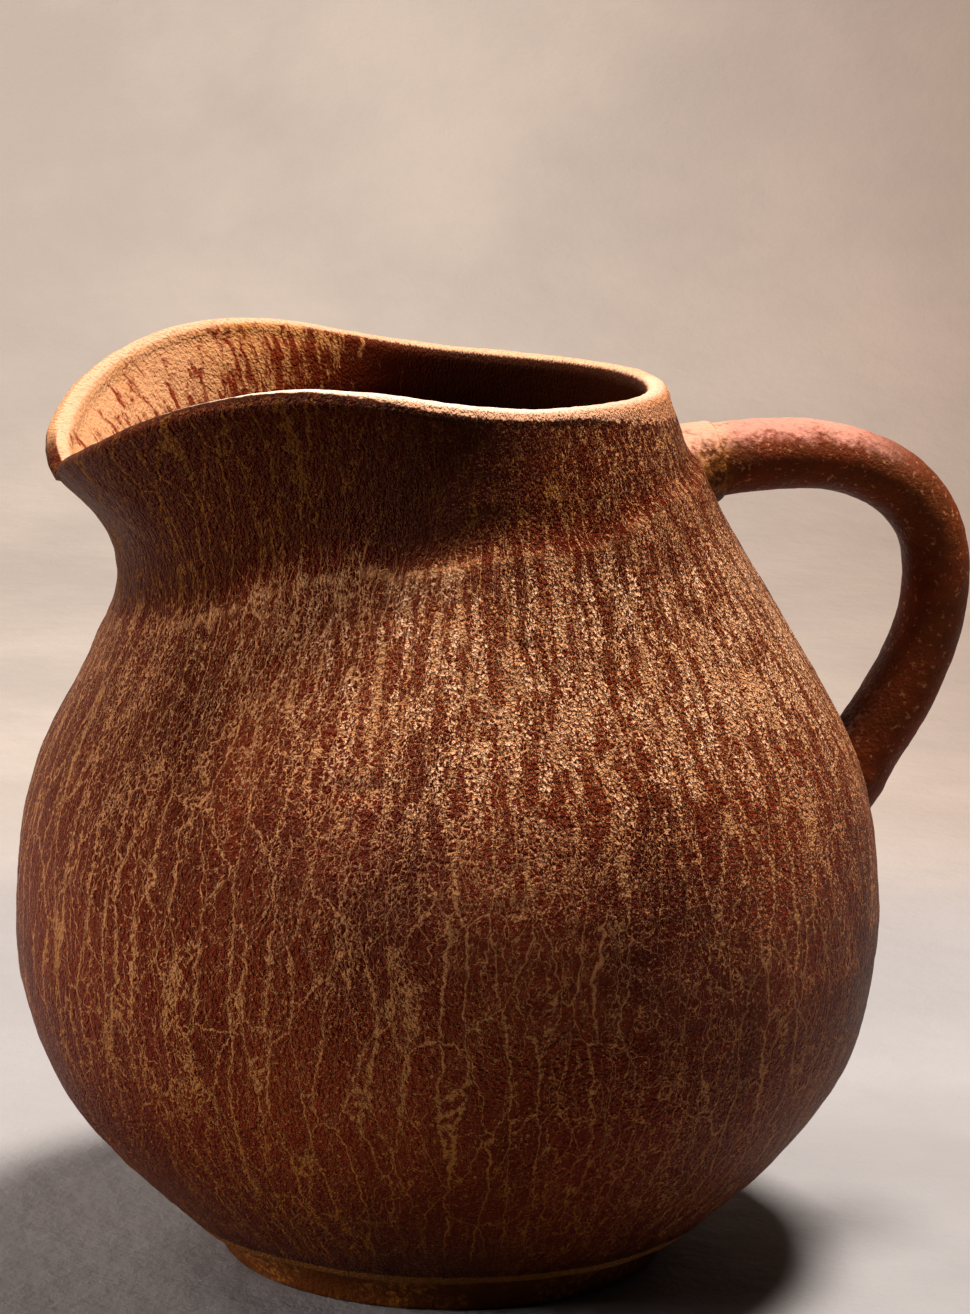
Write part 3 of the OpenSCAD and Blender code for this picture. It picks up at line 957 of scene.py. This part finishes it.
class ThrownWall:
    """The whole wall of the jug as rings of points, before it is parted at the seam."""

    def __init__(self, scene):
        belly, neck, touches = scene.jug_belly, scene.jug_neck, scene.jug_touches
        even = np.linspace(0, 2 * math.pi, touches.columns, endpoint=False)
        self.angles = even - SPOUT_CROWDING * np.sin(even)
        outer, inner = wall_lines(belly, neck)
        outside_belly = belly_rows(neck, outer, self.angles, OUTSIDE_BELLY_RINGS)
        outside_neck = neck_rows(neck, outer, self.angles, 1, OUTSIDE_NECK_RINGS)
        over_rim = rim_rows(neck, self.angles, RIM_RINGS)
        inside_neck = neck_rows(neck, inner, self.angles, -1, INSIDE_NECK_RINGS)[::-1]
        inside_belly = belly_rows(neck, inner, self.angles, INSIDE_BELLY_RINGS)[::-1]
        self.seam_out = len(outside_belly) - 1
        rim_at = self.seam_out + len(outside_neck) - 1
        self.seam_in = rim_at + len(over_rim) + len(inside_neck)
        self.rows = np.array(outside_belly + outside_neck[1:] + over_rim + inside_neck + inside_belly[1:])
        self.outward = ring_normals(self.rows, closed=False)
        steps = np.linalg.norm(np.diff(self.rows, axis=0), axis=2)
        self.way = np.concatenate([np.zeros((1, touches.columns)), np.cumsum(steps, axis=0)])
        crest = rim_at + len(over_rim) // 2 + 1
        self.rim_way = self.way[crest][None, :] - self.way
        below = self.way_below_ledge(neck, touches)
        self.fold_way = np.where(self.rim_way > 0, below, 1.0)
        rise = touches.seam_ledge * self.ledge(below) + self.pressed_places()
        outside = self.rim_way > PRESSED_FROM
        self.rows = self.rows + self.outward * (rise * outside)[:, :, None]

    def way_below_ledge(self, neck, touches):
        """How far each point lies below the line of the ledge, square to the seam."""
        x, _, z = self.rows.transpose(2, 0, 1)
        off = angle_from(self.angles) - LEDGE_LIFT_ANGLE
        lift = LEDGE_ABOVE_SEAM + touches.ledge_lift * hill(off, LEDGE_LIFT_HALF_ANGLE, 2)
        lift = lift + LEDGE_WAVE * np.sin(9 * self.angles)
        middle = neck.rim_height - neck.seam_drop + lift[None, :]
        return (middle + x * math.tan(neck.seam_tilt) - z) * math.cos(neck.seam_tilt)

    def ledge(self, below):
        """Share of the ledge's rise: a soft step that runs out downwards, with a groove above it."""
        step = 1 / (1 + np.exp(-(below - LEDGE_EDGE) / LEDGE_EDGE_SOFTNESS))
        step = step * np.exp(-np.maximum(below, 0) / LEDGE_RUNOUT)
        groove = 0.5 * np.exp(-((below + GROOVE_ABOVE_LEDGE) / GROOVE_HALF_WIDTH) ** 2)
        uneven = 0.75 + 0.25 * np.sin(3 * self.angles + 1.0) * np.sin(7 * self.angles)
        smoothed = SPOUT_SMOOTHING * hill(angle_from(self.angles), SPOUT_SMOOTHING_HALF_ANGLE, 2)
        return (step - groove) * (uneven * (1 - smoothed))[None, :]

    def pressed_places(self):
        """Rise of each point by the places that were pressed or piled up."""
        x, y, z = self.rows.transpose(2, 0, 1)
        rise = np.zeros_like(z)
        for angle, height, half_width, half_height, up in WALL_TOUCHES:
            off = angle_from(self.angles, math.radians(angle))
            side = off[None, :] * np.hypot(x, y) / half_width
            rise = rise + up * np.exp(-side ** 2 - ((z - height) / half_height) ** 2)
        return rise

    def piece(self, name, rows, discs=(), joined=False):
        """A closed piece from some of the rings, with the places that its finish follows.

        Each disc closes the first or the last ring, at the height given with it.
        """
        columns, count = len(self.angles), len(rows)
        points = self.rows[rows].reshape(-1, 3)
        kept = {
            "flow": np.concatenate([ring(self.angles, FLOW_RADIUS, way) for way in self.way[rows]]),
            "rim_way": self.rim_way[rows].ravel(),
            "fold_way": self.fold_way[rows].ravel(),
            "outward": self.outward[rows].reshape(-1, 3),
        }
        quads = tube_quads(count, columns, joined)
        fans = []
        for first, height in discs:
            base = len(points)
            edge = np.arange(columns) + (0 if first else (count - 1) * columns)
            disc = disc_points(points[edge], height)
            points = np.concatenate([points, disc])
            added = {
                "flow": disc * (1, 1, 0) + DISC_SHIFT,
                "rim_way": np.full(len(disc), UNDERSIDE_WAY if first else FLOOR_WAY),
                "fold_way": np.ones(len(disc)),
                "outward": np.tile([0, 0, -1.0 if first else 1.0], (len(disc), 1)),
            }
            kept = {key: np.concatenate([kept[key], added[key]]) for key in kept}
            rings = [edge] + [np.arange(columns) + base + k * columns for k in range(len(DISC_SHARES))]
            for a, b in zip(rings, rings[1:]):
                a2, b2 = np.roll(a, -1), np.roll(b, -1)
                band = np.stack([a2, a, b, b2] if first else [a, a2, b2, b], axis=1)
                quads = np.concatenate([quads, band])
            loop = rings[-1].tolist()
            fans.append((len(points) - 1, loop[::-1] if first else loop))
        mesh = new_mesh(name, points, quads, fans)
        for key, values in kept.items():
            keep_points(mesh, key, values)
        return put_in_scene(name, mesh)


# The handle

# Where the handle bends back, as a share of the way up from its foot to its top
BEND_SHARE = 0.615
# How far the handle's curves keep to the way they start and end, as shares of their reach or rise
TOP_START_SHARE = 0.67
TOP_END_SHARE = 0.74
FOOT_START_SHARE = 0.37
FOOT_END_SHARE = 0.35
# How much thicker the handle is where its foot is pressed on the belly, and over what distance
PRESSED_SWELL = 0.16
PRESSED_REACH = 0.004
# How far the handle runs back into the collar, so that no gap opens between them
RUN_BACK = np.linspace(0.006, 0.0005, 6)
STRAP_SIDES = 72
# How deep the handle and the collar go into the wall
ROOT_DEPTH = 0.003
COLLAR_RINGS = 33
COLLAR_SIDES = 96
# How much the collar's free end is rounded over, and on what share of its length
COLLAR_ROUNDING = 0.13
COLLAR_ROUNDING_SHARE = 0.10


def handle_line(belly, neck, handle, count=120):
    """The middle line of the handle from the collar to the belly, and the way it climbs at first."""
    outer, _ = wall_lines(belly, neck)
    top_z = neck.rim_height - handle.drop
    foot_z = belly.belly_height + handle.foot_rise
    top = np.array([float(outer.radius(top_z)) + handle.collar_length, top_z])
    climb = np.array([math.cos(handle.climb), math.sin(handle.climb)])
    bend = np.array([belly.belly_radius + handle.proud, foot_z + BEND_SHARE * (top_z - foot_z)])
    foot_way = np.array([-math.tan(handle.foot_lean), -1.0])
    foot = np.array([float(outer.radius(foot_z)), foot_z])
    foot = foot + (handle.thickness / 2 + handle.root_swell) * foot_way
    reach, top_rise = bend - top
    foot_rise = bend[1] - foot[1]
    upper = drawn_curve(top, TOP_START_SHARE * reach * climb, bend, (0, TOP_END_SHARE * top_rise), count)
    lower = drawn_curve(bend, (0, -FOOT_START_SHARE * foot_rise),
                        foot, FOOT_END_SHARE * foot_rise * foot_way, count)
    return np.concatenate([upper, lower[1:]]), climb


def strap_line(name, points, swell):
    """A curve in the plane of spout and handle, with a size at each point."""
    curve = bpy.data.curves.new(name, "CURVE")
    curve.dimensions = "3D"
    spline = curve.splines.new("POLY")
    spline.points.add(len(points) - 1)
    for point, (x, z), size in zip(spline.points, points, swell):
        point.co = (x, 0, z, 1)
        point.radius = size
    line = bpy.data.objects.new(name, curve)
    bpy.context.scene.collection.objects.link(line)
    return line


def stop_in_wall(mesh, outer):
    """Keeps every point of a joined-on piece from going too deep into the wall."""
    places = mesh_points(mesh)
    radius = np.hypot(places[:, 0], places[:, 1])
    least = outer.radius(places[:, 2]) - ROOT_DEPTH
    factor = np.where(radius < least, least / radius, 1.0)
    places[:, :2] *= factor[:, None]
    mesh.vertices.foreach_set("co", places.ravel())
    mesh.update()


def clay(name):
    """A finish by its name, made when it is first asked for."""
    scene = bpy.context.scene
    found = bpy.data.materials.get(name)
    if found:
        return found
    if name == "iron_slip":
        return slipped_clay(scene.jug_colours)
    points, _ = handle_line(scene.jug_belly, scene.jug_neck, scene.jug_handle)
    return washed_clay(name, scene.jug_colours, float(points[0][0]))


# Operators

# Half of the hand's relief is enough on the foot ring
FOOT_RELIEF = 0.5
# The foot ring's outside is this much hollow, half way up
FOOT_HOLLOW = 0.0008
FOOT_SIDES = 288
# Below this height the foot ring stays flat, as it stands there
STANDING_HEIGHT = 0.001


class JUG_OT_belly(bpy.types.Operator):
    """Throws the belly and gives it its slip"""
    bl_idname = "jug.belly"
    bl_label = "Throw the belly"

    def execute(self, context):
        wall = ThrownWall(context.scene)
        belly = context.scene.jug_belly
        # The outside runs from the foot up to the seam, and the inside from there down to the floor
        outside = list(range(wall.seam_out + 1))
        inside = list(range(wall.seam_in, len(wall.rows)))
        floor_height = belly.foot_height + belly.floor_thickness
        discs = [(True, belly.foot_height), (False, floor_height)]
        piece = wall.piece("belly_thrown", outside + inside, discs)
        piece = slipped(wall_relief(piece, clay("iron_slip")))
        hand_over(piece, "belly")
        return {"FINISHED"}


class JUG_OT_neck(bpy.types.Operator):
    """Throws the neck and pulls its spout"""
    bl_idname = "jug.neck"
    bl_label = "Throw the neck and spout"

    def execute(self, context):
        wall = ThrownWall(context.scene)
        piece = wall.piece("neck_and_spout_thrown", list(range(wall.seam_out, wall.seam_in + 1)), joined=True)
        piece = slipped(wall_relief(piece, clay("iron_slip")))
        hand_over(piece, "neck_and_spout")
        return {"FINISHED"}


def foot_line(belly):
    """Outline of the foot ring: up its outside, over its top and down its inside."""
    edge = belly.foot_edge
    b = np.linspace(0, math.pi / 2, 6)
    over, up = edge * (1 - np.sin(b)), edge * (1 - np.cos(b))
    outer_edge = np.stack([belly.foot_radius - over, up], axis=1)
    inner_edge = np.stack([belly.foot_radius - belly.foot_width + over, up], axis=1)[::-1]
    top_outside = np.array([belly.foot_top_radius, belly.foot_height])
    top_inside = top_outside - (belly.foot_width, 0)
    shares = np.linspace(0, 1, 9)[1:, None]
    outside = outer_edge[-1] + shares * (top_outside - outer_edge[-1])
    outside[:, 0] -= FOOT_HOLLOW * np.sin(math.pi * shares[:, 0])
    inside = top_inside + shares[:-1] * (inner_edge[0] - top_inside)
    top = top_outside + np.linspace(0, 1, 5)[1:, None] * (top_inside - top_outside)
    return np.concatenate([outer_edge, outside, top, inside, inner_edge])


class JUG_OT_foot_ring(bpy.types.Operator):
    """Turns the foot ring"""
    bl_idname = "jug.foot_ring"
    bl_label = "Turn the foot ring"

    def execute(self, context):
        angles = np.linspace(0, 2 * math.pi, FOOT_SIDES, endpoint=False)
        rows = np.array([ring(angles, radius, z) for radius, z in foot_line(context.scene.jug_belly)])
        outward = ring_normals(rows, closed=True) * FOOT_RELIEF
        outward[rows[:, :, 2] < STANDING_HEIGHT] = 0
        mesh = new_mesh("foot_ring_turned", rows.reshape(-1, 3), tube_quads(len(rows), FOOT_SIDES, True))
        keep_points(mesh, "outward", outward.reshape(-1, 3))
        piece = wall_relief(put_in_scene("foot_ring_turned", mesh), clay("ochre_clay"))
        hand_over(piece, "foot_ring")
        return {"FINISHED"}


class JUG_OT_handle(bpy.types.Operator):
    """Pulls the handle and presses its foot on the belly"""
    bl_idname = "jug.handle"
    bl_label = "Pull the handle"

    def execute(self, context):
        scene = context.scene
        belly, neck, handle = scene.jug_belly, scene.jug_neck, scene.jug_handle
        outer, _ = wall_lines(belly, neck)
        points, climb = handle_line(belly, neck, handle)
        share = np.linspace(-1, 1, len(points))
        points = np.concatenate([points[0] - RUN_BACK[:, None] * climb, points])
        share = np.concatenate([np.full(len(RUN_BACK), -1), share])
        swell = 1 + handle.root_swell * share ** 2 / handle.thickness
        off_wall = np.maximum(points[:, 0] - outer.radius(points[:, 1]), 0)
        swell = swell + PRESSED_SWELL * np.exp(-off_wall / PRESSED_REACH) * (share > 0)
        piece = grow(strap_line("handle_pulled", points, swell), strap_tree(), {
            "Thickness": handle.thickness, "Width": handle.width,
            "Sides": STRAP_SIDES, "Material": clay("handle_wash")})
        keep_normals(piece.data)
        piece = wall_relief(piece, clay("handle_wash"))
        stop_in_wall(piece.data, outer)
        hand_over(piece, "handle")
        return {"FINISHED"}


def collar_rows(top, climb, handle, run):
    """Oval rings of the collar, from inside the wall to its free end at top."""
    up = (handle.thickness + handle.root_swell) / 2 + handle.collar_proud
    across = (handle.width + handle.root_swell) / 2 + handle.collar_proud
    b = np.linspace(0, 2 * math.pi, COLLAR_SIDES, endpoint=False)
    rows = []
    for share in np.linspace(1, 0, COLLAR_RINGS):
        over = 1 - COLLAR_ROUNDING * np.exp(-(share / COLLAR_ROUNDING_SHARE) ** 2)
        spread = share ** 2
        flare = np.where(np.cos(b) < 0, spread * handle.collar_flare, 0)
        rise = np.cos(b) * over * (up + flare)
        wide = np.sin(b) * over * (across + spread * handle.collar_spread)
        x, z = top - share * run * climb
        rows.append(np.stack([x - rise * climb[1], -wide, z + rise * climb[0]], axis=1))
    return np.array(rows)


class JUG_OT_handle_collar(bpy.types.Operator):
    """Presses the collar that joins the handle to the neck"""
    bl_idname = "jug.handle_collar"
    bl_label = "Press the collar"

    def execute(self, context):
        scene = context.scene
        belly, neck, handle = scene.jug_belly, scene.jug_neck, scene.jug_handle
        points, climb = handle_line(belly, neck, handle)
        rows = collar_rows(points[0], climb, handle, handle.collar_length + belly.wall / 2)
        count, columns = rows.shape[:2]
        ends = [rows[0].mean(axis=0), rows[-1].mean(axis=0)]
        places = np.concatenate([rows.reshape(-1, 3), np.array(ends)])
        first = np.arange(columns)
        last = first + (count - 1) * columns
        fans = [(count * columns, first[::-1].tolist()), (count * columns + 1, last.tolist())]
        mesh = new_mesh("handle_collar_pressed", places, tube_quads(count, columns), fans)
        if solid_volume(mesh) < 0:
            mesh.flip_normals()
        keep_normals(mesh)
        piece = wall_relief(put_in_scene("handle_collar_pressed", mesh), clay("ochre_clay"))
        outer, _ = wall_lines(belly, neck)
        stop_in_wall(piece.data, outer)
        hand_over(piece, "handle_collar")
        return {"FINISHED"}


# The stage

# The camera's place in metres, its turn in degrees and its lens and sensor in millimetres
CAMERA_PLACE = (-0.26324, -1.18738, 0.41326)
CAMERA_TURN = (77.991, -1.074, -12.66)
CAMERA_LENS = 134.4
CAMERA_SENSOR = 36
CAMERA_CLIP = 0.05

# The sheet, from its front edge along the camera's way: level, then swept up into the backdrop
SHEET_FRONT = -6.0
SHEET_LEVEL_TO = 0.9
SHEET_SWEEP = 0.5
SHEET_TOP = 3.0
SHEET_HALF_WIDTH = 3.0

# Name, place, the point it looks at, width, watts and tint of each lamp
LAMPS = (
    ("key", (0.32, 0.03, 1.58), (0.0, 0, 0.15), 0.36, 55, (1.0, 0.93, 0.87)),
    ("window_left", (-1.35, 0.05, 0.40), (-0.05, 0, 0.10), 0.6, 16, (1.0, 0.92, 0.88)),
    ("backdrop_lamp", (-1.10, 0.70, 1.5), (-0.80, 1.35, 0.7), 0.8, 17, (1.0, 0.90, 0.80)),
)
AIR_TINT = (1.0, 0.98, 0.96, 1)
AIR_LIGHT = 0.012


def stage_ways():
    """The camera's level way ahead and its way to the right."""
    turned = math.radians(CAMERA_TURN[2])
    ahead = (-math.sin(turned), math.cos(turned), 0)
    return ahead, (ahead[1], -ahead[0], 0)


def studio_finish(colours):
    """A pale floor that warms into the backdrop, with painted shade towards the backdrop's right side, clear
    from its back so that it never hides the jug.
    """
    material, t = blank_material("studio_floor")
    ahead, right = stage_ways()
    place = t.put("ShaderNodeTexCoord").outputs["Object"]
    # The backdrop darkens to its right side: painted shade where the lamp's light falls off
    warm = t.blend(t.along(place, right).ramp(-0.05, 0.42), colours.backdrop, colours.backdrop_right_shade)
    painted = t.blend(t.along(place, ahead).ramp(0.24, 0.50), colours.floor, warm)
    clouds = t.noise(place, 0.16, 4.0, 0.6)
    painted = t.blend(clouds.ramp(0.35, 0.7, 0.22, 0.0), painted, tuple(0.4 * c for c in colours.floor))
    grit = t.noise(place, 0.012, 5.0, 0.65)
    shader = finish_material(t, painted, grit.ramp(0.3, 0.7, 0.75, 0.9), [(grit, 0.0012)])
    back = Value(t, t.put("ShaderNodeNewGeometry").outputs["Backfacing"])
    t.feed(shader.inputs["Alpha"], 1.0 - back)
    return material


def studio_sheet():
    """The floor and the backdrop as one sheet of paper."""
    line = [(SHEET_FRONT, 0.0), (SHEET_LEVEL_TO, 0.0)]
    for b in np.linspace(0, math.pi / 2, 17)[1:]:
        line.append((SHEET_LEVEL_TO + SHEET_SWEEP * math.sin(b), SHEET_SWEEP * (1 - math.cos(b))))
    line.append((SHEET_LEVEL_TO + SHEET_SWEEP, SHEET_TOP))
    ahead, right = np.array(stage_ways())
    points = []
    for reach, z in line:
        for across in (-SHEET_HALF_WIDTH, SHEET_HALF_WIDTH):
            points.append(tuple(ahead * reach + right * across + (0, 0, z)))
    faces = [(2 * k, 2 * k + 1, 2 * k + 3, 2 * k + 2) for k in range(len(line) - 1)]
    mesh = bpy.data.meshes.new("studio_floor")
    mesh.from_pydata(points, [], faces)
    return mesh


def area_lamp(name, place, aim, size, watts, tint):
    """A square soft lamp that looks at a point."""
    data = bpy.data.lights.new(name, "AREA")
    data.size = size
    data.energy = watts
    data.color = tint
    lamp = bpy.data.objects.new(name, data)
    x, y, z = np.array(aim) - np.array(place)
    lamp.rotation_euler = (math.atan2(math.hypot(x, y), -z), 0, math.atan2(y, x) - math.pi / 2)
    lamp.location = place
    bpy.context.scene.collection.objects.link(lamp)


def studio_air():
    """A little light from all sides."""
    world = bpy.data.worlds.new("studio_air")
    world.use_nodes = True
    air = world.node_tree.nodes["Background"].inputs
    air["Color"].default_value = AIR_TINT
    air["Strength"].default_value = AIR_LIGHT
    return world


def studio_camera():
    """The camera, where the photograph was taken from."""
    data = bpy.data.cameras.new("camera")
    data.sensor_fit = "AUTO"
    data.sensor_width = CAMERA_SENSOR
    data.lens = CAMERA_LENS
    data.clip_start = CAMERA_CLIP
    camera = bpy.data.objects.new("camera", data)
    camera.location = CAMERA_PLACE
    camera.rotation_euler = [math.radians(turned) for turned in CAMERA_TURN]
    bpy.context.scene.collection.objects.link(camera)
    return camera


class JUG_OT_stage(bpy.types.Operator):
    """Sets the floor, the lamps and the camera"""
    bl_idname = "jug.stage"
    bl_label = "Set the stage"

    def execute(self, context):
        scene = context.scene
        floor = put_in_scene("studio_floor", studio_sheet())
        floor.data.materials.append(studio_finish(scene.jug_colours))
        for lamp in LAMPS:
            area_lamp(*lamp)
        scene.world = studio_air()
        scene.camera = studio_camera()
        scene.view_settings.view_transform = "Standard"
        return {"FINISHED"}


# The add-on's list of pieces and sizes

PIECE_OPERATORS = (JUG_OT_foot_ring, JUG_OT_belly, JUG_OT_neck,
                   JUG_OT_handle_collar, JUG_OT_handle, JUG_OT_stage)
SETTINGS = (("jug_belly", JugBellySizes), ("jug_neck", JugNeckSizes), ("jug_handle", JugHandleSizes),
            ("jug_touches", JugTouches), ("jug_colours", JugColours))


class JUG_PT_panel(bpy.types.Panel):
    """Lists the jug's pieces and sizes"""
    bl_idname = "JUG_PT_panel"
    bl_label = "Terracotta Jug"
    bl_space_type = "VIEW_3D"
    bl_region_type = "UI"
    bl_category = "Jug"

    def draw(self, context):
        column = self.layout.column(align=True)
        for operator in PIECE_OPERATORS:
            column.operator(operator.bl_idname)
        for name, group in SETTINGS:
            box = self.layout.box()
            for prop in group.__annotations__:
                box.prop(getattr(context.scene, name), prop)


def register():
    for name, group in SETTINGS:
        bpy.utils.register_class(group)
        setattr(bpy.types.Scene, name, PointerProperty(type=group))
    for operator in PIECE_OPERATORS:
        bpy.utils.register_class(operator)
    bpy.utils.register_class(JUG_PT_panel)


def unregister():
    bpy.utils.unregister_class(JUG_PT_panel)
    for operator in reversed(PIECE_OPERATORS):
        bpy.utils.unregister_class(operator)
    for name, group in reversed(SETTINGS):
        delattr(bpy.types.Scene, name)
        bpy.utils.unregister_class(group)


def main():
    register()
    bpy.ops.jug.foot_ring()
    bpy.ops.jug.belly()
    bpy.ops.jug.neck()
    bpy.ops.jug.handle_collar()
    bpy.ops.jug.handle()
    bpy.ops.jug.stage()


if __name__ == "__main__":
    main()
